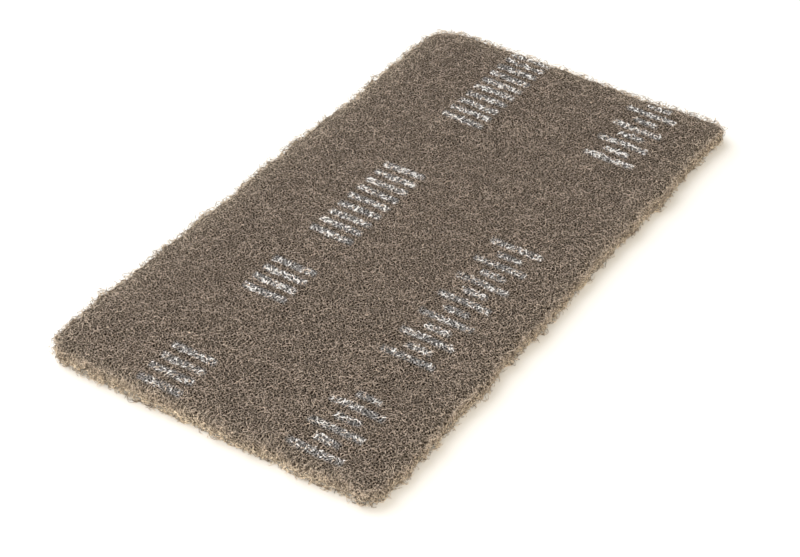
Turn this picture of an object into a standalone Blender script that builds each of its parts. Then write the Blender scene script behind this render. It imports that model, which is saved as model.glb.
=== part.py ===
# Non-woven abrasive hand pad: one springy web of curly bonded fibres, cut to a rectangle, lying flat.
# Metres, Z up. X runs along the pad, Y across it, and the origin is the middle of the underside.

import math

import bmesh
import bpy
from mathutils import Vector, noise

# The cut blank
PAD_LENGTH = 0.230
PAD_WIDTH = 0.115
PAD_THICKNESS = 0.006  # underside to the highest tuft
CORNER_RADIUS = 0.006  # corners as seen from above

# The edges, which handling has worn round
RIM_RADIUS = 0.0018  # where the cut side meets the face
FOOT_RADIUS = 0.0006  # where it meets the underside
FILLET_SHARE = 0.45  # the most of the thickness or the corner radius that an edge may take

# The face: tufts and hollows in the web over a slow swell of its thickness
TUFT_DEPTH = 0.0010
TUFT_SPACING = 0.0050
SWELL_DEPTH = 0.0004
SWELL_SPACING = 0.045

# The outline: a slow bow of the cut sides, and snags where fibres were pulled
BOW = 0.0005
BOW_SPACING = 0.038
SNAG = 0.0005
SNAG_SPACING = 0.006

# The print: two rows of plain upright ink bars, in groups, up to the pad's ends
INK_FILM = 0.0001  # ink standing on the tufts
BAR_WIDTH = 0.0028
BAR_PITCH = 0.0056
EVEN_ROW_Y = 0.0185
EVEN_ROW_LENGTHS = (0.015,)  # of its bars, across the pad
EVEN_ROW_GROUPS = ((-0.1135, 4), (-0.060, 4), (-0.022, 9), (0.062, 10))  # start along X, bars
STEPPED_ROW_Y = -0.0345
STEPPED_ROW_LENGTHS = (0.018, 0.009)  # taken in turn
STEPPED_ROW_GROUPS = ((-0.1115, 6), (-0.061, 13), (0.071, 9))

# Mesh
GRID_SPACING = 0.0028
RIM_STEPS = 3
WALL_STEPS = 2
FOOT_STEPS = 1

WEB_COLOUR = (0.160, 0.122, 0.098, 1.0)
WEB_ROUGHNESS = 0.9
INK_COLOUR = (0.72, 0.71, 0.68, 1.0)
INK_ROUGHNESS = 0.5

# Each field reads its own stretch of the same noise, so that no two of them match.
TUFT_FIELD = Vector((3.1, 7.7, 0.4))
SWELL_FIELD = Vector((11.9, 2.3, 5.6))
BOW_FIELD = Vector((5.2, 13.4, 9.1))
SNAG_FIELD = Vector((8.8, 1.7, 14.2))


def wave(x, y, spacing, field):
    """Smooth noise of about -1 to 1 at a place on the pad, with lumps about `spacing` apart."""
    return noise.noise(Vector((x, y, 0.0)) / spacing + field)


def sinking(x, y):
    """How far the face lies below the highest tuft at a place, always 0 or more."""
    tufts = TUFT_DEPTH * (1 - wave(x, y, TUFT_SPACING, TUFT_FIELD)) / 2
    swell = SWELL_DEPTH * (1 - wave(x, y, SWELL_SPACING, SWELL_FIELD)) / 2
    return tufts + swell


def under_bar(x, y, row_y, lengths, groups):
    """Whether a place lies under a bar of one printed row."""
    for start, bars in groups:
        bar = math.floor((x - start) / BAR_PITCH)
        if 0 <= bar < bars and x - start - bar * BAR_PITCH < BAR_WIDTH:
            return abs(y - row_y) < lengths[bar % len(lengths)] / 2
    return False


def inked(x, y):
    """Whether a place on the face is printed."""
    in_even_row = under_bar(x, y, EVEN_ROW_Y, EVEN_ROW_LENGTHS, EVEN_ROW_GROUPS)
    in_stepped_row = under_bar(x, y, STEPPED_ROW_Y, STEPPED_ROW_LENGTHS, STEPPED_ROW_GROUPS)
    return in_even_row or in_stepped_row


def from_corner_centre(x, y, half_x, half_y, radius):
    """Vector to a point from the nearest place of the plan's core: the plan less `radius` all round."""
    core_x = half_x - radius
    core_y = half_y - radius
    return Vector((x - max(-core_x, min(core_x, x)), y - max(-core_y, min(core_y, y))))


def rounded(x, y, half_x, half_y, radius):
    """Moves a point of a rectangle so that its square corners become quarter circles of `radius`."""
    out = from_corner_centre(x, y, half_x, half_y, radius)
    p, q = out / radius
    disc = Vector((p * math.sqrt(1 - q * q / 2), q * math.sqrt(1 - p * p / 2))) * radius
    return Vector((x, y)) - out + disc


def side_profile(rim, foot):
    """The cut side from the face down, as (how far outside the face's outline, height)."""
    steps = []
    for k in range(1, RIM_STEPS + 1):
        turn = math.pi / 2 * k / RIM_STEPS
        steps.append((rim * math.sin(turn), PAD_THICKNESS - rim * (1 - math.cos(turn))))
    for k in range(1, WALL_STEPS + 1):
        drop = (PAD_THICKNESS - rim - foot) * k / WALL_STEPS
        steps.append((rim, PAD_THICKNESS - rim - drop))
    for k in range(1, FOOT_STEPS + 1):
        turn = math.pi / 2 * k / FOOT_STEPS
        steps.append((rim - foot * (1 - math.cos(turn)), foot * (1 - math.sin(turn))))
    return steps


def matt_material(name, colour, roughness):
    material = bpy.data.materials.new(name)
    material.use_nodes = True
    shader = material.node_tree.nodes["Principled BSDF"]
    shader.inputs["Base Color"].default_value = colour
    shader.inputs["Roughness"].default_value = roughness
    shader.inputs["Metallic"].default_value = 0.0
    material.diffuse_color = colour
    return material


def print_bars(faces):
    """Gives the faces under the printed bars the ink's material."""
    for face in faces:
        middle = face.calc_center_median()
        if inked(middle.x, middle.y):
            face.material_index = 1


def face_sheet(bm, half_x, half_y, radius):
    """The face, a grid with rounded corners. Returns its rim edges and each rim point's way out."""
    columns = round(2 * half_x / GRID_SPACING)
    rows = round(2 * half_y / GRID_SPACING)
    bmesh.ops.create_grid(bm, x_segments=columns, y_segments=rows, size=1.0)
    for vert in bm.verts:
        plan = rounded(vert.co.x * half_x, vert.co.y * half_y, half_x, half_y, radius)
        vert.co = (plan.x, plan.y, PAD_THICKNESS)
    rim_edges = [edge for edge in bm.edges if edge.is_boundary]
    outward = {}
    for edge in rim_edges:
        for vert in edge.verts:
            away = from_corner_centre(vert.co.x, vert.co.y, half_x, half_y, radius)
            outward[vert] = away.normalized()
    return rim_edges, outward


def cut_side(bm, rim_edges, outward, rim, foot):
    """Carries the rim down the cut side, a ring of faces a step, and closes the flat underside."""
    edges = rim_edges
    starts = {vert: (Vector((vert.co.x, vert.co.y)), way) for vert, way in outward.items()}
    for reach, height in side_profile(rim, foot):
        fresh = bmesh.ops.extrude_edge_only(bm, edges=edges)["geom"]
        edges = [item for item in fresh if isinstance(item, bmesh.types.BMEdge) and item.is_boundary]
        above = starts
        starts = {}
        for vert in (item for item in fresh if isinstance(item, bmesh.types.BMVert)):
            parent = next(e.other_vert(vert) for e in vert.link_edges if e.other_vert(vert) in above)
            start, way = above[parent]
            starts[vert] = (start, way)
            place = start + way * reach
            vert.co = (place.x, place.y, height)
    bmesh.ops.contextual_create(bm, geom=edges)


def roughen(bm):
    """Bows and snags the sides, sinks the face's hollows and lifts its ink. The underside stays flat."""
    for vert in bm.verts:
        x, y, z = vert.co
        lift = z / PAD_THICKNESS
        bow_x = BOW * wave(x, y, BOW_SPACING, BOW_FIELD)
        bow_y = BOW * wave(y, x, BOW_SPACING, BOW_FIELD)
        snag_x = SNAG * wave(x, y + z, SNAG_SPACING, SNAG_FIELD)
        snag_y = SNAG * wave(y + z, x, SNAG_SPACING, SNAG_FIELD)
        film = INK_FILM if inked(x, y) else 0.0
        vert.co = (x + bow_x + snag_x, y + bow_y + snag_y, z + (film - sinking(x, y)) * lift)


def centre_plan(bm):
    """Brings the middle of the cut outline back to the origin after its sides have bowed."""
    xs = [vert.co.x for vert in bm.verts]
    ys = [vert.co.y for vert in bm.verts]
    middle = Vector((max(xs) + min(xs), max(ys) + min(ys), 0.0)) / 2
    bmesh.ops.translate(bm, verts=bm.verts, vec=-middle)


def abrasive_pad():
    rim = min(RIM_RADIUS, PAD_THICKNESS * FILLET_SHARE, CORNER_RADIUS * FILLET_SHARE)
    foot = min(FOOT_RADIUS, PAD_THICKNESS * FILLET_SHARE, CORNER_RADIUS * FILLET_SHARE)
    bm = bmesh.new()
    face = (PAD_LENGTH / 2 - rim, PAD_WIDTH / 2 - rim, CORNER_RADIUS - rim)
    rim_edges, outward = face_sheet(bm, *face)
    print_bars(bm.faces)
    cut_side(bm, rim_edges, outward, rim, foot)
    roughen(bm)
    centre_plan(bm)
    bmesh.ops.recalc_face_normals(bm, faces=bm.faces)
    mesh = bpy.data.meshes.new("abrasive_pad")
    bm.to_mesh(mesh)
    bm.free()
    mesh.materials.append(matt_material("bonded_web", WEB_COLOUR, WEB_ROUGHNESS))
    mesh.materials.append(matt_material("print_ink", INK_COLOUR, INK_ROUGHNESS))
    mesh.shade_smooth()
    pad = bpy.data.objects.new("abrasive_pad", mesh)
    bpy.context.scene.collection.objects.link(pad)
    return pad


for old in list(bpy.data.objects):
    bpy.data.objects.remove(old, do_unlink=True)
abrasive_pad()
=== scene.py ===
import math

import bpy
import numpy as np
from mathutils import Matrix, Vector


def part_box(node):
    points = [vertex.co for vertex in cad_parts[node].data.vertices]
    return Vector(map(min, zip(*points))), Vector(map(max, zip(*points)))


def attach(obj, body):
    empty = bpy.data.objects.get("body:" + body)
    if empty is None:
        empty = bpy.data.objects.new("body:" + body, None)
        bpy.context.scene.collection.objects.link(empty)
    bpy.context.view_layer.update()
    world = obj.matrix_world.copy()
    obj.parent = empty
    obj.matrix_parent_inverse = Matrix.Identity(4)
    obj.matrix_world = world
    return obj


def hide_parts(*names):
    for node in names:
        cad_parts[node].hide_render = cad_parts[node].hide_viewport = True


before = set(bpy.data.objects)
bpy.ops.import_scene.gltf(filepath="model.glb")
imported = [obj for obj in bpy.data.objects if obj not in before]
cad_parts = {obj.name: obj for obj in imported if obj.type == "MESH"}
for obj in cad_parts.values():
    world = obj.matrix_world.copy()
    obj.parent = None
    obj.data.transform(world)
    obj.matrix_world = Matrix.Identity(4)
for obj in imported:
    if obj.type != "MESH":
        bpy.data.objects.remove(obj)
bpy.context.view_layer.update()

# A hand pad of curly bonded fibres. The imported solid gives the outline and the lie of its face. An
# inner web, with painted shade in the gaps between its drawn fibres, follows them, and thousands of
# separate curly fibres cover every side of it. All lengths are in metres.

padNode = "abrasive_pad"
padLow, padHigh = (np.array(corner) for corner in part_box(padNode))
seed = 7


# Camera: the photo's own view, from a fit to the pad's edge lines

camera = {
    "width": 800,  # of the picture, in pixels
    "focal": 2088.3,  # pixels
    "azimuth": -61.065,  # degrees, of the way from the target back to the camera
    "elevation": 36.983,
    "roll": 4.227,
    "distance": 0.66256,
    "target": (-0.02087, -0.00805, 0.0),
    "sensor": 36.0,  # millimetres
    "clip": (0.01, 20),  # nearest and farthest that it sees
}


def aimCamera(c):
    # The way back from the target comes from azimuth and elevation. The picture's two axes lie
    # across that way, turned about it by the roll.
    turn, rise, roll = (math.radians(c[key]) for key in ("azimuth", "elevation", "roll"))
    level = math.cos(rise)
    back = Vector((math.sin(turn) * level, -math.cos(turn) * level, math.sin(rise)))
    right = Vector((math.cos(turn), math.sin(turn), 0.0))
    up = back.cross(right)
    acrossPicture = math.cos(roll) * right + math.sin(roll) * up
    upPicture = -math.sin(roll) * right + math.cos(roll) * up
    data = bpy.data.cameras.new("photoCamera")
    data.sensor_width = c["sensor"]
    data.lens = c["focal"] / c["width"] * c["sensor"]
    data.clip_start, data.clip_end = c["clip"]
    cameraObject = bpy.data.objects.new("photoCamera", data)
    bpy.context.scene.collection.objects.link(cameraObject)
    place = Matrix((acrossPicture, upPicture, back)).transposed().to_4x4()
    place.translation = Vector(c["target"]) + back * c["distance"]
    cameraObject.matrix_world = place
    bpy.context.scene.camera = cameraObject


aimCamera(camera)
print("camera set")


# Shader maths: a socket that takes the usual operators

class Wire:
    def __init__(self, tree, socket):
        self.tree = tree
        self.socket = socket

    def node(self, kind, settings=None, values=None, output=0):
        made = self.tree.nodes.new(kind)
        for name, value in (settings or {}).items():
            setattr(made, name, value)
        for name, value in (values or {}).items():
            if isinstance(value, Wire):
                self.tree.links.new(value.socket, made.inputs[name])
            else:
                made.inputs[name].default_value = value
        return Wire(self.tree, made.outputs[output])

    def maths(self, operation, first, second=0.0, clamp=False):
        settings = {"operation": operation, "use_clamp": clamp}
        return self.node("ShaderNodeMath", settings, {0: first, 1: second})

    def __add__(self, other):
        return self.maths("ADD", self, other)

    def __radd__(self, other):
        return self.maths("ADD", other, self)

    def __sub__(self, other):
        return self.maths("SUBTRACT", self, other)

    def __rsub__(self, other):
        return self.maths("SUBTRACT", other, self)

    def __mul__(self, other):
        return self.maths("MULTIPLY", self, other)

    def __rmul__(self, other):
        return self.maths("MULTIPLY", other, self)

    def __truediv__(self, other):
        return self.maths("DIVIDE", self, other)

    def clamped(self):
        return self.maths("ADD", self, 0.0, clamp=True)


def newMaterial(name, roughness, specular):
    # Also a Wire without a socket, through which nodes are added to the material.
    made = bpy.data.materials.new(name)
    made.use_nodes = True
    shader = made.node_tree.nodes["Principled BSDF"]
    shader.inputs["Roughness"].default_value = roughness
    shader.inputs["Specular IOR Level"].default_value = specular
    return made, shader, Wire(made.node_tree, None)


def feed(wire, socket):
    wire.tree.links.new(wire.socket, socket)


def rgb(red, green, blue):
    return (red, green, blue, 1.0)


def mixColours(base, factor, first, second):
    # Sockets 6 and 7 take the colours, and output 2 gives the mixed one.
    values = {0: factor, 6: first, 7: second}
    return base.node("ShaderNodeMix", {"data_type": "RGBA"}, values, output=2)


def vectorMaths(base, operation, values, output=0):
    # Output 0 is a vector and output 1 a value.
    return base.node("ShaderNodeVectorMath", {"operation": operation}, values, output)


def objectPlace(base):
    return base.node("ShaderNodeTexCoord", output=3)


def attribute(base, name):
    return base.node("ShaderNodeAttribute", {"attribute_name": name}, output=2)


def noiseAt(base, place, scale, detail=0.0):
    values = {"Vector": place, "Scale": scale, "Detail": detail}
    return base.node("ShaderNodeTexNoise", None, values)


def bumpFrom(base, height, strength, distance):
    values = {"Height": height, "Strength": strength, "Distance": distance}
    return base.node("ShaderNodeBump", None, values)


def emission(base, colour, strength):
    return base.node("ShaderNodeEmission", None, {"Color": colour, "Strength": strength})


# Smooth noise and the pad's form

noiseCells = 97  # along each side of a table, after which its noise repeats


def noiseTable(rng):
    return rng.uniform(-1, 1, (noiseCells, noiseCells))


def smoothNoise(x, y, spacing, table):
    # Heights on a square lattice `spacing` apart, eased between its points by 3 s^2 - 2 s^3.
    u, v = x / spacing, y / spacing
    column, row = np.floor(u).astype(int), np.floor(v).astype(int)
    easeU, easeV = (s * s * (3 - 2 * s) for s in (u - column, v - row))
    left, right = column % noiseCells, (column + 1) % noiseCells
    near, far = row % noiseCells, (row + 1) % noiseCells
    low = table[left, near] * (1 - easeU) + table[right, near] * easeU
    high = table[left, far] * (1 - easeU) + table[right, far] * easeU
    return low * (1 - easeV) + high * easeV


padForm = {
    "cornerRadii": (0.0125, 0.0090, 0.0060, 0.0050),  # anticlockwise from the +X +Y corner
    "cornerPush": (0.0, 0.0002, 0.0, 0.0018),  # how far each corner is pulled out
    "pushWidth": 0.012,  # distance from the corner over which the pull dies away
    "cornerPoints": 25,  # of the outline, round each corner
    "packedRadius": 0.006,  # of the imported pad's corners
    "sideBand": 0.2,  # share of the thickness above and below half height that is read as the side
    "outlinePoints": 4000,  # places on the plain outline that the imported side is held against
    "outlineBins": 140,  # stretches of the outline, each with its own bow
    "faceFrom": 0.7,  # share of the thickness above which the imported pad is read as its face
    "faceCell": 0.004,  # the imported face's height is averaged over squares of this side
    "past": 0.0003,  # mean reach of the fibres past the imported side
    "endPast": 0.0010,  # further reach at the pad's two short ends
    "ragged": 0.0020,  # how much the reach varies
    "waves": ((0.011, 0.35), (0.0038, 0.3), (0.0015, 0.35)),  # spacing of each wave, and its share
    "waveShift": 60,  # spacings along X to each wave's own stretch of noise
}


def cadPoints(name):
    mesh = bpy.data.objects[name].data
    flat = np.empty(len(mesh.vertices) * 3)
    mesh.vertices.foreach_get("co", flat)
    return flat.reshape(-1, 3)


class PadForm:
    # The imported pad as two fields: its face's height, and how far its cut side bows out.
    def __init__(self, f):
        self.f = f
        self.half = (padHigh[:2] - padLow[:2]) / 2 + (f["endPast"], 0)
        self.middle = (padHigh[:2] + padLow[:2]) / 2
        self.thickness = padHigh[2] - padLow[2]
        self.radii = np.array(f["cornerRadii"])
        self.table = noiseTable(np.random.default_rng(seed))
        points = cadPoints(padNode)
        self.readOutline(points)
        self.readFace(points)

    def drawPlan(self, half, radii):
        # A rectangle with round corners, by running length, anticlockwise from where the +X side
        # runs into the corner towards +Y.
        signs = np.array([(1, 1), (-1, 1), (-1, -1), (1, -1)])
        quarter = math.pi / 2
        angle = np.linspace(0, quarter, self.f["cornerPoints"]) + quarter * np.arange(4)[:, None]
        way = np.stack([np.cos(angle), np.sin(angle)], -1)
        centre = signs * (half - radii[:, None])
        line = (centre[:, None] + radii[:, None, None] * way).reshape(-1, 2)
        way = way.reshape(-1, 2)
        self.line = np.vstack([line, line[:1]])
        self.way = np.vstack([way, way[:1]])
        stretches = np.linalg.norm(np.diff(self.line, axis=0), axis=1)
        self.run = np.concatenate([[0], np.cumsum(stretches)])
        self.around = self.run[-1]

    def readOutline(self, points):
        # Each stretch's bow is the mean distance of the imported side's points near it from a plain
        # outline.
        bins = self.f["outlineBins"]
        self.drawPlan((padHigh[:2] - padLow[:2]) / 2, np.full(4, self.f["packedRadius"]))
        halfHeight = (padLow[2] + padHigh[2]) / 2
        near = np.abs(points[:, 2] - halfHeight) < self.thickness * self.f["sideBand"]
        side = points[near, :2] - self.middle
        share = np.linspace(0, 1, self.f["outlinePoints"], endpoint=False)
        place, out = self.plain(share * self.around)
        nearest = np.argmin(((side[:, None] - place[None]) ** 2).sum(2), axis=1)
        bow = ((side - place[nearest]) * out[nearest]).sum(1)
        index = (share[nearest] * bins).astype(int)
        count = np.bincount(index, minlength=bins)
        known = np.flatnonzero(count)
        self.bowShare = (known + 0.5) / bins
        self.bow = np.bincount(index, bow, bins)[known] / count[known]
        self.drawPlan(self.half, self.radii)

    def readFace(self, points):
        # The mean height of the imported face's points in each square cell of the plan.
        self.cell = self.f["faceCell"]
        top = points[points[:, 2] > padLow[2] + self.thickness * self.f["faceFrom"]]
        self.cells = np.ceil(2 * self.half / self.cell).astype(int) + 1
        at = np.round((top[:, :2] - padLow[:2]) / self.cell).astype(int).clip(0, self.cells - 1)
        flat = at[:, 0] * self.cells[1] + at[:, 1]
        total = self.cells[0] * self.cells[1]
        count = np.bincount(flat, minlength=total)
        height = np.bincount(flat, top[:, 2], total) / np.maximum(count, 1)
        height[count == 0] = top[:, 2].mean()
        self.height = height.reshape(self.cells)

    def plain(self, run):
        # The drawn plan's edge at a running length round it, and the way out of it.
        run = run % self.around
        place = np.stack([np.interp(run, self.run, self.line[:, k]) for k in (0, 1)], -1)
        out = np.stack([np.interp(run, self.run, self.way[:, k]) for k in (0, 1)], -1)
        return place, out / np.linalg.norm(out, axis=-1, keepdims=True)

    def outline(self, run):
        # The same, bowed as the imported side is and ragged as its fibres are.
        place, out = self.plain(run)
        bow = np.interp(run / self.around % 1, self.bowShare, self.bow, period=1)
        past = bow + self.stray(place[..., 0], place[..., 1])
        return place + out * past[..., None] + self.middle, out

    def stray(self, x, y):
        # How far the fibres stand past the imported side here: a steady reach, waves of noise of
        # three sizes and, near a corner, that corner's pull.
        f = self.f
        near = np.hypot(np.abs(x) - self.half[0], np.abs(y) - self.half[1]) / f["pushWidth"]
        pull = self.byQuarter(f["cornerPush"], x, y) * np.exp(-near * near)
        wander = 0
        for spacing, share in f["waves"]:
            shift = f["waveShift"] * spacing
            wander = wander + share * smoothNoise(x + shift, y, spacing, self.table)
        return f["past"] + pull + f["ragged"] * wander

    def face(self, x, y):
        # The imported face's height, blended between the middles of its cells.
        u = ((x - padLow[0]) / self.cell).clip(0, self.cells[0] - 1.001)
        v = ((y - padLow[1]) / self.cell).clip(0, self.cells[1] - 1.001)
        column, row = u.astype(int), v.astype(int)
        du, dv = u - column, v - row
        h = self.height
        near = h[column, row] * (1 - du) + h[column + 1, row] * du
        far = h[column, row + 1] * (1 - du) + h[column + 1, row + 1] * du
        return near * (1 - dv) + far * dv

    def byQuarter(self, values, x, y):
        # The value of the corner in whose quarter of the plan a place lies.
        near, far = np.where(x > 0, values[3], values[2]), np.where(x > 0, values[0], values[1])
        return np.where(y > 0, far, near)

    def inside(self, x, y):
        # How far a place lies inside the ragged plan, below nought outside it.
        x, y = x - self.middle[0], y - self.middle[1]
        radius = self.byQuarter(self.radii, x, y)
        over = np.stack([np.abs(x) - self.half[0] + radius, np.abs(y) - self.half[1] + radius])
        corner = np.linalg.norm(np.maximum(over, 0), axis=0)
        return radius - corner - np.minimum(over.max(0), 0) + self.stray(x, y)


form = PadForm(padForm)
print("pad form read: outline", round(form.around, 4), "m")
print("face height", round(float(form.height.mean()), 5), "m")


# Mesh helpers

noTriangles = np.zeros((0, 3), int)


def newPiece(name, points, quads, triangles=noTriangles, smooth=True):
    # Arrays of points, four-sided faces and three-sided faces go into the mesh whole.
    mesh = bpy.data.meshes.new(name)
    mesh.vertices.add(len(points))
    mesh.vertices.foreach_set("co", np.ascontiguousarray(points, np.float32).ravel())
    corners = np.concatenate([quads.ravel(), triangles.ravel()]).astype(np.int32)
    sides = np.concatenate([np.full(len(quads), 4), np.full(len(triangles), 3)]).astype(np.int32)
    mesh.loops.add(len(corners))
    mesh.loops.foreach_set("vertex_index", corners)
    mesh.polygons.add(len(sides))
    starts = np.concatenate([[0], np.cumsum(sides)[:-1]]).astype(np.int32)
    mesh.polygons.foreach_set("loop_start", starts)
    mesh.polygons.foreach_set("use_smooth", np.full(len(sides), smooth))
    mesh.update(calc_edges=True)
    mesh.validate()
    piece = bpy.data.objects.new(name, mesh)
    bpy.context.scene.collection.objects.link(piece)
    return piece


def giveLayout(piece, corners):
    # One picture place for each face corner, in the order of the faces.
    layer = piece.data.uv_layers.new(name="OFBake")
    layer.data.foreach_set("uv", np.ascontiguousarray(corners, np.float32).ravel())


def giveValues(piece, name, values):
    layer = piece.data.attributes.new(name, "FLOAT", "POINT")
    layer.data.foreach_set("value", np.ascontiguousarray(values, np.float32).ravel())


# Print: two rows of plain upright bars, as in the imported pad's source

printMarks = {
    "barWidth": 0.0028,
    "barPitch": 0.0056,
    "evenRow": 0.0185,  # place of the row across the pad
    "evenLengths": (0.015,),  # of its bars, taken in turn
    "evenGroups": (  # start along X, bars, share of ink
        (-0.1135, 4, 0.8), (-0.060, 4, 1.0), (-0.022, 9, 1.0), (0.062, 10, 1.0),
    ),
    "steppedRow": -0.0345,
    "steppedLengths": (0.018, 0.009),
    "steppedGroups": (
        (-0.1115, 6, 0.8), (-0.061, 13, 0.85), (0.071, 9, 1.0),
    ),
    "above": 0.003,  # height over which the inner web takes ink, so that its underside takes none
}


def inkOver(x, y, m):
    # How much ink lies at a place: its group's share under a bar, and 0 elsewhere.
    ink = np.zeros(x.shape)
    rows = ((m["evenRow"], m["evenLengths"], m["evenGroups"]),
            (m["steppedRow"], m["steppedLengths"], m["steppedGroups"]))
    for rowY, lengths, groups in rows:
        for start, bars, strength in groups:
            bar = np.floor((x - start) / m["barPitch"]).astype(int)
            across = x - start - bar * m["barPitch"]
            length = np.array(lengths)[bar % len(lengths)]
            under = (bar >= 0) & (bar < bars) & (across < m["barWidth"])
            ink = np.where(under & (np.abs(y - rowY) < length / 2), strength, ink)
    return ink


# Paleness and painted light: 0 on the face and 1 low on the cut side

palenessAndLightZone = {
    "fade": 0.0036,  # length over which the rim's value fades out over the face
    "start": 0.0046,  # height on the cut side where it starts to rise to 1
    "depth": 0.0036,  # and the drop over which it gets there
    # The higher rim value on the +X and +Y sides is painted back light, standing in for light
    # through the fuzz.
    "rim": (0.34, 0.80),  # value at the rim, on the sides towards -X and -Y, and on the others
}


def palenessAndLight(path):
    # The rim's value dies away by e for each fading length over the face, and eases up to 1 down
    # the cut side. Part of that rise is the cut fibres' own paler colour and part is painted light,
    # standing in for light off the floor and through the thin fibres where shade would fall at the
    # foot.
    down = ((palenessAndLightZone["start"] - path[..., 2]) / palenessAndLightZone["depth"]).clip(0, 1)
    down = down * down * (3 - 2 * down)
    inside = form.inside(path[..., 0], path[..., 1]).clip(0, None)
    # Painted back light: the rim grows paler towards the +X and +Y sides, which are lit from behind.
    high = (0.5 + 0.5 * (path[..., :2] / form.half).sum(-1)).clip(0, 1)
    rim = palenessAndLightZone["rim"][0] * (1 - high) + palenessAndLightZone["rim"][1] * high
    return np.exp(-inside / palenessAndLightZone["fade"]) * (rim + (1 - rim) * down)


# Inner web: a closed slab just inside the fibres

innerWeb = {
    "step": 0.0014,  # grid spacing
    "inset": 0.0006,  # behind the ragged side
    "margin": 0.006,  # over which the face widens or narrows to the ragged outline
    "leastRadius": 0.0012,  # of the face's corners
    "raised": 0.00035,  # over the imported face
    "lift": 0.0002,  # above the underside
    "rim": 0.0019,  # how far its round rim reaches out from the face
    "rimSteps": 3,
    "rimShare": 0.26,  # share of the height that the rim takes
    "footShares": (0.5, 0.3, 0.12, 0.03),  # of the height, down the side
    "footReach": (1.0, 0.95, 0.7, 0.4),  # and how much of the rim's reach is left there
    "tuft": 0.0002,
    "tuftSpacing": 0.0023,
    "lowTuft": 0.5,  # share of a tuft's height that stands on the underside
    "slide": (3, -2),  # along X and Y for each metre up, of the noise on the side
}
webSheets = {  # size and start of each part of the web in its picture
    "face": ((1, 0.45), (0, 0.55)),
    "side": ((1, 0.06), (0, 0.47)),
    "underside": ((1, 0.45), (0, 0)),
}


def roundedPlan(u, v, half, radius):
    # A rectangle's grid whose corner squares are pressed into quarter discs.
    x, y = u * half[0], v * half[1]
    coreX, coreY = half[0] - radius, half[1] - radius
    p = (np.abs(x) - coreX).clip(0) / radius
    q = (np.abs(y) - coreY).clip(0) / radius
    newX = np.where(p > 0, coreX + radius * p * np.sqrt(1 - q * q / 2), np.abs(x))
    newY = np.where(q > 0, coreY + radius * q * np.sqrt(1 - p * p / 2), np.abs(y))
    return np.sign(x) * newX, np.sign(y) * newY


def boundaryLoop(columns, rows):
    # The rim of a grid's points, anticlockwise seen from above.
    index = np.arange(columns * rows).reshape(columns, rows)
    return np.concatenate([index[:-1, 0], index[-1, :-1], index[:0:-1, -1], index[0, :0:-1]])


def webPlan(w):
    # The grid over the plan inside the rim, with the core that its round corners leave.
    half = form.half - w["inset"] - w["rim"]
    columns, rows = (int(round(2 * side / w["step"])) for side in half)
    u, v = np.meshgrid(np.linspace(-1, 1, columns), np.linspace(-1, 1, rows), indexing="ij")
    radius = (form.byQuarter(form.radii, u, v) - w["inset"] - w["rim"]).clip(w["leastRadius"], None)
    x, y = roundedPlan(u, v, half, radius)
    place = np.stack([x, y], -1)
    core = half - w["margin"]
    share = (place - place.clip(-core, core)) / w["margin"]
    place = place + share * form.stray(x, y)[..., None]
    return u, v, place[..., 0], place[..., 1], half - radius[..., None]


def sideRings(w, top, low, core, tufts):
    # From the face's rim down: a quarter turn out, then the side, tucked in a little at the foot.
    turns = np.linspace(0, math.pi / 2, w["rimSteps"] + 1)[1:]
    share = np.concatenate([1 - (1 - np.cos(turns)) * w["rimShare"], w["footShares"]])
    reach = np.concatenate([np.sin(turns), w["footReach"]])
    place = top[:, :2] - form.middle
    away = place - place.clip(-core, core)
    away /= np.linalg.norm(away, axis=1, keepdims=True)
    height = low[:, 2] + (top[:, 2] - low[:, 2]) * share[:, None]
    slideX, slideY = w["slide"]
    x, y = top[:, 0] + height * slideX, top[:, 1] + height * slideY
    out = reach[:, None] * (w["rim"] + w["tuft"] * smoothNoise(x, y, w["tuftSpacing"], tufts))
    rings = np.concatenate([top[:, :2] + away * out[..., None], height[..., None]], -1)
    return rings.reshape(-1, 3), len(share)


def webLayout(u, v, cells, around, rings):
    # The face lies above, the underside below, and the side as a strip between them.
    flat = np.stack([(u + 1) / 2, (v + 1) / 2], -1).reshape(-1, 2)
    column, ring = np.meshgrid(np.arange(around), np.arange(rings))
    strip = np.stack([column, ring, column, ring + 1, column + 1, ring + 1, column + 1, ring], -1)
    strip = strip.reshape(-1, 4, 2) / (around, rings)
    parts = (("face", flat[cells]), ("side", strip), ("underside", flat[cells[:, ::-1]]))
    return np.vstack([corners * webSheets[name][0] + webSheets[name][1] for name, corners in parts])


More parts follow.
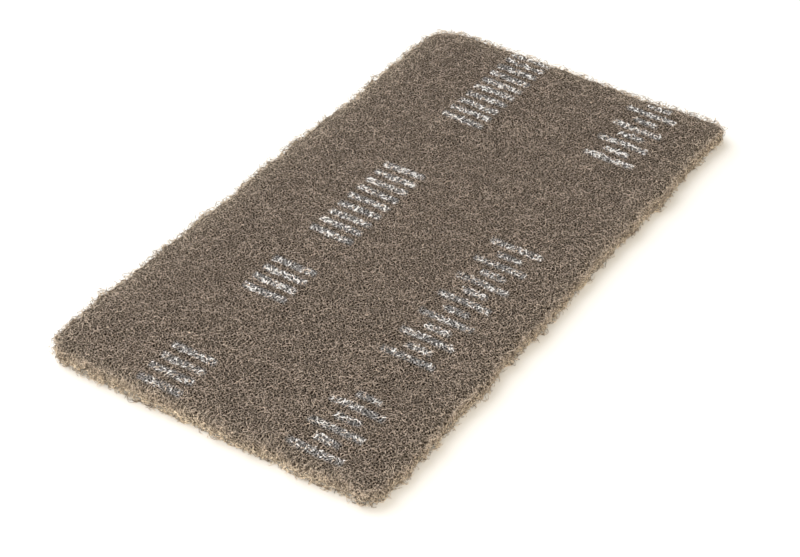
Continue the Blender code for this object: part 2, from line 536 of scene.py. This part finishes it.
def buildInnerWeb(w, rng):
    # Top and bottom are grids over the plan. Rings of faces carry the rim from one to the other.
    u, v, x, y, core = webPlan(w)
    columns, rows = u.shape
    x, y = x + form.middle[0], y + form.middle[1]
    # Face, underside and side each read their own stretch of the noise.
    tufts, spacing = noiseTable(rng), w["tuftSpacing"]
    top = form.face(x, y) + w["raised"] + w["tuft"] * smoothNoise(x + 1, y + 1, spacing, tufts)
    low = padLow[2] + w["lift"]
    low = low + w["tuft"] * w["lowTuft"] * (1 + smoothNoise(x + 2, y + 3, spacing, tufts))
    loop = boundaryLoop(columns, rows)
    faceTop = np.stack([x, y, top], -1).reshape(-1, 3)
    faceLow = np.stack([x, y, low], -1).reshape(-1, 3)
    sides, ringCount = sideRings(w, faceTop[loop], faceLow[loop], core.reshape(-1, 2)[loop], tufts)
    points = np.vstack([faceTop, sides, faceLow])
    grid = np.arange(columns * rows).reshape(columns, rows)
    cells = np.stack([grid[:-1, :-1], grid[1:, :-1], grid[1:, 1:], grid[:-1, 1:]], -1)
    cells = cells.reshape(-1, 4)
    lowStart = len(faceTop) + len(sides)
    ringPoints = (len(faceTop) + np.arange(len(sides))).reshape(ringCount, -1)
    loops = np.vstack([loop[None], ringPoints, loop[None] + lowStart])
    above, below = loops[:-1], loops[1:]
    strips = np.stack([above, below, np.roll(below, -1, 1), np.roll(above, -1, 1)], -1)
    quads = np.vstack([cells, strips.reshape(-1, 4), cells[:, ::-1] + lowStart])
    piece = newPiece("inner_web", points, quads)
    giveLayout(piece, webLayout(u, v, cells, len(loop), ringCount + 1))
    giveValues(piece, "paleAndLit", palenessAndLight(points))
    ink = inkOver(points[:, 0], points[:, 1], printMarks)
    giveValues(piece, "ink", ink * (points[:, 2] > printMarks["above"]))
    print("inner web:", 2 * len(quads), "triangles")
    return piece


# Fibres: three-sided tubes along curly paths

tubeSides = 3  # each tube's end is closed by one three-sided face
inkCoat = 2.0  # share by which ink thickens a fibre
# A fibre is lighter where its paleness rises; part of that rise is painted light, low on the cut
# side and at the +X and +Y rims.
paleAndLitTone = 0.5  # how much lighter a fibre is at the cut side
bobWaves = ((0.83, 0.6), (0.47, 0.4))  # wavelength over the crimp's, and share
rimMost = 0.98  # share of a round rim's radius past which it drops no further
fibreCell = {  # where a fibre's faces lie in its square cell of the picture
    "start": (0.04, 0.07),
    "size": (0.8, 0.86),
    "cap": ((0.0, 0.0), (0.04, 0.0), (0.02, 0.5)),
    "capStart": (0.87, 0.2),
    "capShifts": (0, 0.06),
}


def curlyRun(rng, count, f):
    # The heading is a start angle plus the running sum of a steady turn and a swinging one. Its
    # cosine and sine, summed, walk the fibre over the surface. Slow sines carry it up and down.
    steps = f["steps"]
    along = np.arange(steps + 1) * f["step"]
    wavelength = rng.uniform(*f["wavelength"], (count, 1))
    phase = rng.uniform(0, 2 * math.pi, (count, 1 + len(bobWaves)))
    steady = rng.normal(0, f["steadyTurn"], (count, 1))
    swing = rng.uniform(*f["crimp"], (count, 1))
    curvature = steady + swing * np.sin(2 * math.pi * along / wavelength + phase[:, :1])
    heading = rng.uniform(0, 2 * math.pi, (count, 1)) + np.cumsum(curvature, 1) * f["step"]
    walk = np.cumsum(np.stack([np.cos(heading), np.sin(heading)], -1) * f["step"], 1)
    walk -= walk[:, steps // 2, None]
    bob = 0
    for k, (longer, share) in enumerate(bobWaves):
        angle = 2 * math.pi * along / (wavelength * longer) + phase[:, k + 1, None]
        bob = bob + share * np.sin(angle)
    return walk, bob


def tubes(path, up, radius, f):
    # Points round each path point, at equal angles in the plane across the path, and capped ends.
    # The way up sets where the first of them lies.
    count, length = path.shape[:2]
    ahead = np.gradient(path, axis=1)
    ahead /= np.linalg.norm(ahead, axis=2, keepdims=True).clip(1e-9)
    aside = np.cross(ahead, up)
    aside /= np.linalg.norm(aside, axis=2, keepdims=True).clip(1e-9)
    over = np.cross(aside, ahead)
    taper = np.ones(length)
    taper[[0, -1]] = f["tip"]
    angle = f["roll"] + 2 * math.pi * np.arange(tubeSides) / tubeSides
    out = aside[:, :, None] * np.cos(angle)[:, None] + over[:, :, None] * np.sin(angle)[:, None]
    points = path[:, :, None] + out * (radius * taper)[:, :, None, None]
    index = np.arange(count * length * tubeSides).reshape(count, length, tubeSides)
    near, far = index[:, :-1], index[:, 1:]
    quads = np.stack([near, far, np.roll(far, -1, 2), np.roll(near, -1, 2)], -1).reshape(-1, 4)
    caps = np.concatenate([index[:, 0], index[:, -1, ::-1]])
    return points.reshape(-1, 3), quads, caps


def tubeLayout(count, length, c):
    # Each fibre unrolls into its own cell of a square grid, with its two caps at the cell's end.
    side = math.ceil(math.sqrt(count))
    cell = np.stack([np.arange(count) % side, np.arange(count) // side], -1) / side
    step, turn = np.meshgrid(np.arange(length - 1), np.arange(tubeSides), indexing="ij")
    corners = np.stack([step, turn, step + 1, turn, step + 1, turn + 1, step, turn + 1], -1)
    corners = corners.reshape(-1, 2) / (length - 1, tubeSides) * c["size"] + c["start"]
    cap = np.array(c["cap"]) + c["capStart"]
    strips = cell[:, None] + corners / side
    caps = [cell[:, None] + (cap + (shift, 0)) / side for shift in c["capShifts"]]
    return np.vstack([part.reshape(-1, 2) for part in (strips, *caps)])


def fibrePiece(name, path, up, f, rng, ink, paleAndLit):
    # One piece of tubes, whose points hold their tone, their ink, and their paleness with painted
    # light.
    count, length = path.shape[:2]
    radius = rng.uniform(*f["radius"], (count, 1)) * (1 + inkCoat * ink * np.ones(length))
    points, quads, caps = tubes(path, np.broadcast_to(up, path.shape), radius, f)
    piece = newPiece(name, points, quads, caps)
    giveLayout(piece, tubeLayout(count, length, fibreCell))
    tone = rng.uniform(*f["tone"], (count, 1)) + paleAndLitTone * paleAndLit * np.ones(length)
    for key, value in (("tone", tone), ("ink", ink), ("paleAndLit", paleAndLit)):
        giveValues(piece, key, np.repeat((value * np.ones((count, length))).reshape(-1), tubeSides))
    print(name + ":", count, "fibres,", 2 * len(quads) + len(caps), "triangles")
    return piece


evenShares = (0.7548777, 0.5698403)  # of no common measure, so that their multiples never line up


def spread(start, count):
    # Places over a unit square, more even than chance: whole multiples of the two shares, each
    # less its whole part.
    return np.modf(0.5 + np.outer(np.arange(start, start + count), evenShares))[0]


def trimmed(path, kept):
    # Cuts each fibre where it first leaves the kept places on either side of its middle, and
    # spaces the same number of points over what is left.
    length = path.shape[1]
    index, middle = np.arange(length), length // 2
    first = np.where(~kept & (index < middle), index, 0).max(1)[:, None]
    last = np.where(~kept & (index > middle), index, length - 1).min(1)[:, None]
    at = first + (last - first) * np.linspace(0, 1, length)
    low = at.astype(int).clip(0, length - 2)
    share = (at - low)[..., None]
    fibre = np.arange(len(path))[:, None]
    return path[fibre, low] * (1 - share) + path[fibre, low + 1] * share


def rimDrop(inside, rim):
    # How far a round rim lies under the face at a distance inside the outline: its radius less
    # the height of a quarter circle there.
    across = (rim - inside).clip(0, rim * rimMost)
    return rim - np.sqrt(rim * rim - across * across)


faceFibres = {
    "pieces": 4,
    "count": 2290,  # to a piece
    "steps": 10,
    "step": 0.0008,  # length of each
    "wavelength": (0.0025, 0.0050),  # of the crimp
    "steadyTurn": 300.0,  # radians a metre
    "crimp": (700.0, 1500.0),  # the same, at the crimp's sharpest
    "radius": (0.00006, 0.000085),
    "tip": 0.6,  # share of the radius at a fibre's ends
    "roll": 0.5,  # of a tube about its path, in radians
    "seatMargin": 0.0002,  # between the outermost seats and the plan's edge
    "jitter": 0.0005,  # of a seat about its even place
    "depth": (-0.0005, 0.0002),  # of a fibre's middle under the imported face
    "bob": 0.0006,
    "fuzz": 0.0009,  # the most that a fibre stands past the ragged side
    "stand": (-0.3, 1),  # shares of it
    "rim": 0.0018,  # radius of the round rim
    "inkDepth": 0.0003,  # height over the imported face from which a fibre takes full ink
    "tone": (0.0, 1.0),  # 0 darkest, 1 lightest
}


def faceFibrePath(rng, f, start, upSide):
    # Seats spread evenly over the plan, a curly walk from each, cut off near the ragged edge.
    count = f["count"]
    walk, bob = curlyRun(rng, count, f)
    seat = spread(start, count)[:, None] * 2 - 1
    place = seat * (form.half - f["seatMargin"])
    place = place + rng.uniform(-f["jitter"], f["jitter"], (count, 1, 2)) + walk + form.middle
    depth = rng.uniform(*f["depth"], (count, 1)) * np.ones(place.shape[1])
    path = np.concatenate([place, depth[..., None], bob[..., None]], -1)
    stand = rng.uniform(*f["stand"], (count, 1)) * f["fuzz"]
    path = trimmed(path, form.inside(place[..., 0], place[..., 1]) > -stand)
    x, y, depth, bob = (path[..., k] for k in range(4))
    drop = rimDrop(form.inside(x, y), f["rim"])
    if upSide:
        z = form.face(x, y) - depth + f["bob"] * bob - drop
    else:
        z = padLow[2] + f["lift"] + depth + np.abs(f["bob"] * bob) + drop
    return np.stack([x, y, z], -1)


def buildFaceFibres(f, rng):
    # Ink lies on the fibres that come up to the face, more the higher they stand.
    pieces = []
    for k in range(f["pieces"]):
        path = faceFibrePath(rng, f, k * f["count"], True)
        x, y, z = path[..., 0], path[..., 1], path[..., 2]
        top = ((z - form.face(x, y)) / f["inkDepth"]).clip(0, 1)
        ink = inkOver(x, y, printMarks) * top
        name, paleAndLit = f"face_fibres_{k + 1}", palenessAndLight(path)
        pieces.append(fibrePiece(name, path, (0, 0, 1), f, rng, ink, paleAndLit))
    return pieces


underFibres = dict(
    faceFibres,
    count=600,
    depth=(-0.0004, 0.0),  # of a fibre's middle, from its lift above the underside
    lift=0.0005,
    bob=0.0002,
)


def buildUnderFibres(f, rng):
    path = faceFibrePath(rng, f, 0, False)
    return fibrePiece("under_fibres", path, (0, 0, 1), f, rng, 0.0, palenessAndLight(path))


edgeFibres = {
    "count": 2500,
    "steps": 8,
    "step": 0.00055,
    "wavelength": (0.0025, 0.005),
    "steadyTurn": 300.0,
    "crimp": (600.0, 1500.0),
    "radius": (0.00008, 0.00012),
    "tip": 0.6,
    "roll": 0.5,
    "tops": (0.86, 1.0),  # shares of the thickness that a fibre stays under
    "foot": 0.00013,  # height that it stays over
    "depth": (-0.0003, 0.0005),  # of a fibre's middle behind the ragged side
    "bob": 0.0004,
    "rim": 0.0019,
    "rimShare": 0.8,  # how much of the round rim a fibre follows
    "tone": (-1.0, 0.9),
}


def sidePath(run, height, reach):
    # Running length round the pad, height and distance out of its side, as places.
    place, out = form.outline(run)
    path = np.concatenate([place + out * reach[..., None], height[..., None] + padLow[2]], -1)
    return path, np.concatenate([out, out[..., :1] * 0], -1)


def buildEdgeFibres(f, rng):
    # The walk goes round the pad and up its side, and the bob carries the fibre out of the side
    # and in. A fibre that goes over its top or under the foot moves down or up whole.
    count = f["count"]
    walk, bob = curlyRun(rng, count, f)
    run = rng.uniform(0, form.around, (count, 1)) + walk[..., 0]
    height = rng.uniform(0, form.thickness, (count, 1)) + walk[..., 1]
    top = form.thickness * rng.uniform(*f["tops"], (count, 1))
    height = height - (height - top).max(1, keepdims=True).clip(0)
    height = height - (height - f["foot"]).min(1, keepdims=True).clip(None, 0)
    reach = f["bob"] * bob - rng.uniform(*f["depth"], (count, 1))
    reach = reach - rimDrop(form.thickness - height, f["rim"]) * f["rimShare"]
    path, out = sidePath(run, height, reach)
    return fibrePiece("edge_fibres", path, out, f, rng, 0.0, palenessAndLight(path))


cutEnds = {
    "count": 7400,
    "steps": 3,
    "radius": (0.00006, 0.0001),
    "tip": 0.7,
    "roll": 0.5,
    "lean": (0.0008, 0.0006),  # spread of an end's lean round the pad and up it
    "bend": (0.0012, 0.0009),  # and of its bend
    "reach": 0.0017,  # the most that an end stands past the ragged side
    "short": 4,  # power that makes most ends short
    "root": 0.0008,  # depth of its root behind the side
    "sweep": (1.2, 2.2),  # radians of a sine that carry it out, and past a quarter turn back
    "rise": 0.0002,  # up near the face, and down below riseFrom of the height
    "riseFrom": 0.3,
    "under": 0.0002,  # the face, of the highest root
    "foot": 0.00012,  # least height
    "over": 0.0001,  # the face, at the most
    # The side's paleness here is partly painted light.
    "pale": 0.7,  # share of the side's paleness
    "up": (0.3, 0.2, 0.9),
    "tone": (-1.1, 0.8),
}


def buildCutEnds(f, rng):
    # A short end leans out of the side along a random way and bends by the square of the share
    # along it. Roots stand by a cosine of chance, so that most lie near the rim and the foot.
    count = f["count"]
    share = np.linspace(0, 1, f["steps"] + 1)
    lean = rng.normal(0, 1, (count, 2, 2)) * (f["lean"], f["bend"])
    bend = lean[:, :1] * share[:, None] + lean[:, 1:] * (share * share)[:, None]
    run = rng.uniform(0, form.around, (count, 1)) + bend[..., 0]
    level = (1 - np.cos(math.pi * rng.uniform(0, 1, (count, 1)))) / 2
    rise = f["rise"] * (level - f["riseFrom"]) * share
    height = level * (form.thickness - f["under"]) + bend[..., 1] + rise
    height = height.clip(f["foot"], form.thickness + f["over"])
    stand = f["reach"] * rng.uniform(0, 1, (count, 1)) ** f["short"]
    reach = (stand + f["root"]) * np.sin(share * rng.uniform(*f["sweep"], (count, 1))) - f["root"]
    path, out = sidePath(run, height, reach)
    return fibrePiece("cut_ends", path, f["up"], f, rng, 0.0, palenessAndLight(path) * f["pale"])


strayLoops = {
    "count": 420,
    "steps": 12,
    "radius": (0.00006, 0.00009),
    "tip": 0.5,
    "roll": 0.5,
    "size": (0.0009, 0.0026),  # the most that a loop stands out
    "smaller": (0.5, 1),  # shares of it
    "arc": (0.7, 1.15),  # half turns of its circle
    "arcStart": 0.05,  # half turns that it starts below the side
    "wide": (0.5, 1.1),  # half width over size
    "tilt": (-1.2, 1.2),  # radians from level
    "waver": 0.00015,
    "waverTurn": 9,  # radians of the waver along a loop
    "waverStart": (0, 6),
    "low": 0.0008,  # least height of its middle
    "under": 0.0006,  # the face, of the highest middle
    "foot": 0.0001,  # least height of any part
    "root": 0.0003,  # how far it stands back into the side
    "pale": 0.2,
    "up": (0.2, 0.3, 0.9),
    "tone": (-0.6, 0.3),
}


def buildStrayLoops(f, rng):
    # Part of a circle stands on the side. It leans up or down, and wavers by a small sine along it.
    count = f["count"]
    share = np.linspace(0, 1, f["steps"] + 1)
    size = rng.uniform(*f["size"], (count, 1)) * rng.uniform(*f["smaller"], (count, 1))
    angle = math.pi * (share * rng.uniform(*f["arc"], (count, 1)) - f["arcStart"])
    wide = size * rng.uniform(*f["wide"], (count, 1))
    tilt = rng.uniform(*f["tilt"], (count, 1))
    waver = f["waver"] * np.sin(share * f["waverTurn"] + rng.uniform(*f["waverStart"], (count, 1)))
    along = -wide * np.cos(angle)
    run = rng.uniform(0, form.around, (count, 1)) + along * np.cos(tilt) + waver
    height = rng.uniform(f["low"], form.thickness - f["under"], (count, 1)) + along * np.sin(tilt)
    height = height.clip(f["foot"], None)
    path, out = sidePath(run, height, size * np.sin(angle) - f["root"] + waver)
    return fibrePiece("stray_loops", path, f["up"], f, rng, 0.0, f["pale"])


# Materials

webLook = {
    # The gap colours are painted shade: the deep holes between the fibres, dark for want of light.
    "gapShade": rgb(0.006, 0.004, 0.003),  # between the fibres
    "lowFibre": rgb(0.765, 0.604, 0.452),  # drawn on the inner web
    "dark": rgb(0.030, 0.022, 0.015),  # darkest and lightest fibre of the face
    "light": rgb(0.760, 0.620, 0.492),
    "paleGapShade": rgb(0.060, 0.043, 0.029),  # the same on the cut side
    "paleDark": rgb(0.260, 0.195, 0.130),
    "pale": rgb(0.990, 0.845, 0.630),
    "ink": rgb(0.950, 0.925, 0.880),
}
fibreSurface = {
    "roughness": 0.75,
    "specular": 0.12,
    "gritScale": 2800.0,  # of the resin and grain on a fibre
    "patchScale": 160.0,  # of slow changes over the pad
    "patchDetail": 2.0,
    "speckleScale": 900.0,  # of dark and light stretches
    "speckleDetail": 1.0,
    "toneShare": 0.5,  # how far each moves a fibre between dark and light
    "gritShare": 2.2,
    "patchShare": 0.2,
    "speckleShare": 5.0,  # on the cut side
    "paleShare": 0.4,  # of the cut side's colours there, before the patches add to it
    "inkSharp": 4,  # how fast a fibre that is partly inked counts as inked
    "inkFrom": 0.62,  # speckle over which the ink has taken
    "inkEase": 0.25,  # and how much less is needed under full ink
    "inkContrast": 9,
    "gloss": 0.25,  # less roughness on the grit
    "dullest": 0.82,
    "bump": 0.5,
    "bumpDepth": 0.00003,
}


def fibreMaterial(look, m):
    # Tone, grit, patches and speckle add up to a shade between two colours of the face and two of
    # the cut side. Ink covers the speckle's high places under the print.
    made, shader, base = newMaterial("bonded_fibre", m["roughness"], m["specular"])
    place = objectPlace(base)
    tone, paleAndLit, ink = (attribute(base, name) for name in ("tone", "paleAndLit", "ink"))
    grit = noiseAt(base, place, m["gritScale"])
    patch = noiseAt(base, place, m["patchScale"], m["patchDetail"])
    speckle = noiseAt(base, place, m["speckleScale"], m["speckleDetail"])
    amount = tone * m["toneShare"] + (grit - 0.5) * m["gritShare"] + (patch - 0.5) * m["patchShare"]
    amount = amount + (speckle - 0.5) * paleAndLit * m["speckleShare"]
    amount = (amount + 0.5).clamped()
    colour = mixColours(base, amount, look["dark"], look["light"])
    cut = mixColours(base, amount, look["paleDark"], look["pale"])
    # The cut side's colours come in by paleness, which is partly painted light: off the floor and
    # through the fuzz at the foot, and from behind at the +X and +Y rims.
    colour = mixColours(base, (paleAndLit * (m["paleShare"] + patch)).clamped(), colour, cut)
    taken = ((speckle + ink * m["inkEase"] - m["inkFrom"]) * m["inkContrast"]).clamped()
    colour = mixColours(base, (ink * m["inkSharp"]).clamped() * taken, colour, look["ink"])
    feed(colour, shader.inputs["Base Color"])
    feed(m["dullest"] - m["gloss"] * grit, shader.inputs["Roughness"])
    feed(bumpFrom(base, grit, m["bump"], m["bumpDepth"]), shader.inputs["Normal"])
    return made


webSurface = {
    "roughness": 0.9,
    "specular": 0.05,
    # The dimmer layers are painted shade: drawn fibres lying deeper, under the brighter ones.
    "layers": (  # of drawn fibres: heading in radians, brightness
        (0.3, 0.88), (1.6, 0.90), (2.5, 0.92), (0.95, 0.94),
        (2.05, 0.96), (2.85, 0.98), (1.25, 1.0),
    ),
    "tilt": 0.8,  # how much the layers' stripes also run along Z, to cross the cut side
    "spacing": 0.0010,
    "thin": 7.4,  # spacing over half the width of a line
    "swing": 2.0,
    "swingScale": 440.0,
    "gritScale": 2600.0,
    "gritShare": 2.0,
    "contrast": 6.0,  # from brightness to drawn fibre, over the dark level
    "darkLevel": 4.15,
    "inkFrom": 0.3,  # how much fibre a place needs to take ink
    "inkContrast": 2.2,
    "edgeFlat": 1.3,  # how much of the bump the cut side loses
    "gloss": 0.15,  # less roughness on the drawn fibres
    "dullest": 0.95,
    "bump": 0.9,
    "bumpDepth": 0.0004,
}


def drawnLines(base, place, m):
    # Stripes across a heading, swung about by noise. Each brighter layer lies over the dimmer ones,
    # whose dimness is painted shade of fibres lying deeper.
    lines = None
    for turn, bright in m["layers"]:
        way = (math.cos(turn), math.sin(turn), m["tilt"] * math.sin(3 * turn + 1))
        across = vectorMaths(base, "DOT_PRODUCT", {0: place, 1: way}, output=1)
        moved = vectorMaths(base, "ADD", {0: place, 1: (turn, turn * 2, turn * 3)})
        phase = across / m["spacing"] + noiseAt(base, moved, m["swingScale"]) * m["swing"]
        off = base.maths("ABSOLUTE", base.maths("FRACT", phase) - 0.5)
        ridge = (1 - off * m["thin"]).clamped() * bright
        lines = ridge if lines is None else base.maths("MAXIMUM", lines, ridge)
    return lines


def innerMaterial(look, m):
    # Drawn fibres stand over gaps painted dark as shade. Both turn paler with paleness, which is
    # partly painted light, mostly on the cut side, where the relief fades out.
    made, shader, base = newMaterial("inner_web", m["roughness"], m["specular"])
    place = objectPlace(base)
    paleAndLit, ink = attribute(base, "paleAndLit"), attribute(base, "ink")
    grit = noiseAt(base, place, m["gritScale"])
    lines = (grit - 0.5) * m["gritShare"] + drawnLines(base, place, m) * m["contrast"]
    lines = (lines - m["darkLevel"]).clamped()
    gapShade = mixColours(base, paleAndLit, look["gapShade"], look["paleGapShade"])
    fibre = mixColours(base, paleAndLit, look["lowFibre"], look["pale"])
    colour = mixColours(base, lines, gapShade, fibre)
    taken = (ink * (lines - m["inkFrom"]) * m["inkContrast"]).clamped()
    feed(mixColours(base, taken, colour, look["ink"]), shader.inputs["Base Color"])
    height = lines * (1 - paleAndLit * m["edgeFlat"]).clamped()
    feed(bumpFrom(base, height, m["bump"], m["bumpDepth"]), shader.inputs["Normal"])
    feed(m["dullest"] - m["gloss"] * lines, shader.inputs["Roughness"])
    return made


# Building

rng = np.random.default_rng(seed)
web = buildInnerWeb(innerWeb, rng)
fibrePieces = buildFaceFibres(faceFibres, rng)
fibrePieces.append(buildUnderFibres(underFibres, rng))
fibrePieces.append(buildEdgeFibres(edgeFibres, rng))
fibrePieces.append(buildCutEnds(cutEnds, rng))
fibrePieces.append(buildStrayLoops(strayLoops, rng))

fibreLook = fibreMaterial(webLook, fibreSurface)
for piece in fibrePieces:
    piece.data.materials.append(fibreLook)
web.data.materials.append(innerMaterial(webLook, webSurface))
print("materials given")

for piece in (web, *fibrePieces):
    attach(piece, "root")
    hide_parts(padNode)


# Stage: floor, sky and lamps

stage = {
    "floorSize": 6.0,
    "floorDrop": 0.00002,  # under the pad
    "floorColour": rgb(0.96, 0.935, 0.875),
    "floorGlow": rgb(0.02, 0.02, 0.015),
    "whiteFrom": (0.2, 0.55),  # distances between which the floor turns plain white to the camera
    "white": rgb(1, 1, 1),
    "skyColour": rgb(1.0, 0.93, 0.82),
    "skyStrength": 0.56,
    "lamps": (  # name, power, colour, size, place
        ("window", 21.0, (0.91, 0.97, 1.09), 1.6, (0.16, 0.95, 0.84)),
        ("fill", 11.5, (0.98, 0.96, 0.96), 1.0, (-0.97, -0.47, 0.40)),
    ),
}


def directRay(base):
    # 1 for rays from the camera, straight, mirrored or through glass.
    rays = base.node("ShaderNodeLightPath").socket.node.outputs
    kinds = ("Camera", "Glossy", "Transmission")
    seen, mirrored, through = (Wire(base.tree, rays[f"Is {kind} Ray"]) for kind in kinds)
    return base.maths("MAXIMUM", base.maths("MAXIMUM", seen, mirrored), through)


def buildFloor(s):
    # Near the pad it is paper with a faint glow. Farther from it, it turns white to the camera.
    side = s["floorSize"] / 2
    corners = np.array([(-side, -side, 0), (side, -side, 0), (side, side, 0), (-side, side, 0)])
    corners = corners - (0, 0, s["floorDrop"])
    floor = newPiece("floor", corners, np.array([[0, 1, 2, 3]]), smooth=False)
    made, shader, base = newMaterial("floor_paper", 1.0, 0.0)
    shader.inputs["Base Color"].default_value = s["floorColour"]
    direct = directRay(base)
    glow = emission(base, s["floorGlow"], direct)
    near = base.node("ShaderNodeAddShader", None, {0: Wire(base.tree, shader.outputs[0]), 1: glow})
    away = vectorMaths(base, "LENGTH", {0: objectPlace(base)}, output=1)
    start, end = s["whiteFrom"]
    share = ((away - start) / (end - start)).clamped() * direct
    white = emission(base, s["white"], 1.0)
    both = base.node("ShaderNodeMixShader", None, {0: share, 1: near, 2: white})
    feed(both, made.node_tree.nodes["Material Output"].inputs["Surface"])
    floor.data.materials.append(made)


def buildSky(s):
    # It lights the pad with its own colour and strength, and looks white to the camera.
    world = bpy.data.worlds.new("studio")
    bpy.context.scene.world = world
    world.use_nodes = True
    base = Wire(world.node_tree, None)
    background = world.node_tree.nodes["Background"]
    direct = directRay(base)
    feed(mixColours(base, direct, s["skyColour"], s["white"]), background.inputs["Color"])
    feed(s["skyStrength"] + direct * (1 - s["skyStrength"]), background.inputs["Strength"])


def buildLamp(name, power, colour, size, at):
    # A square lamp that looks at the pad's middle.
    data = bpy.data.lights.new(name, "AREA")
    data.shape = "SQUARE"
    data.size = size
    data.energy = power
    data.color = colour
    lamp = bpy.data.objects.new(name, data)
    bpy.context.scene.collection.objects.link(lamp)
    at = Vector(at)
    lamp.matrix_world = Matrix.Translation(at) @ at.to_track_quat("Z", "Y").to_matrix().to_4x4()


buildFloor(stage)
buildSky(stage)
for lamp in stage["lamps"]:
    buildLamp(*lamp)
bpy.context.scene.view_settings.view_transform = "Standard"
print("stage set")
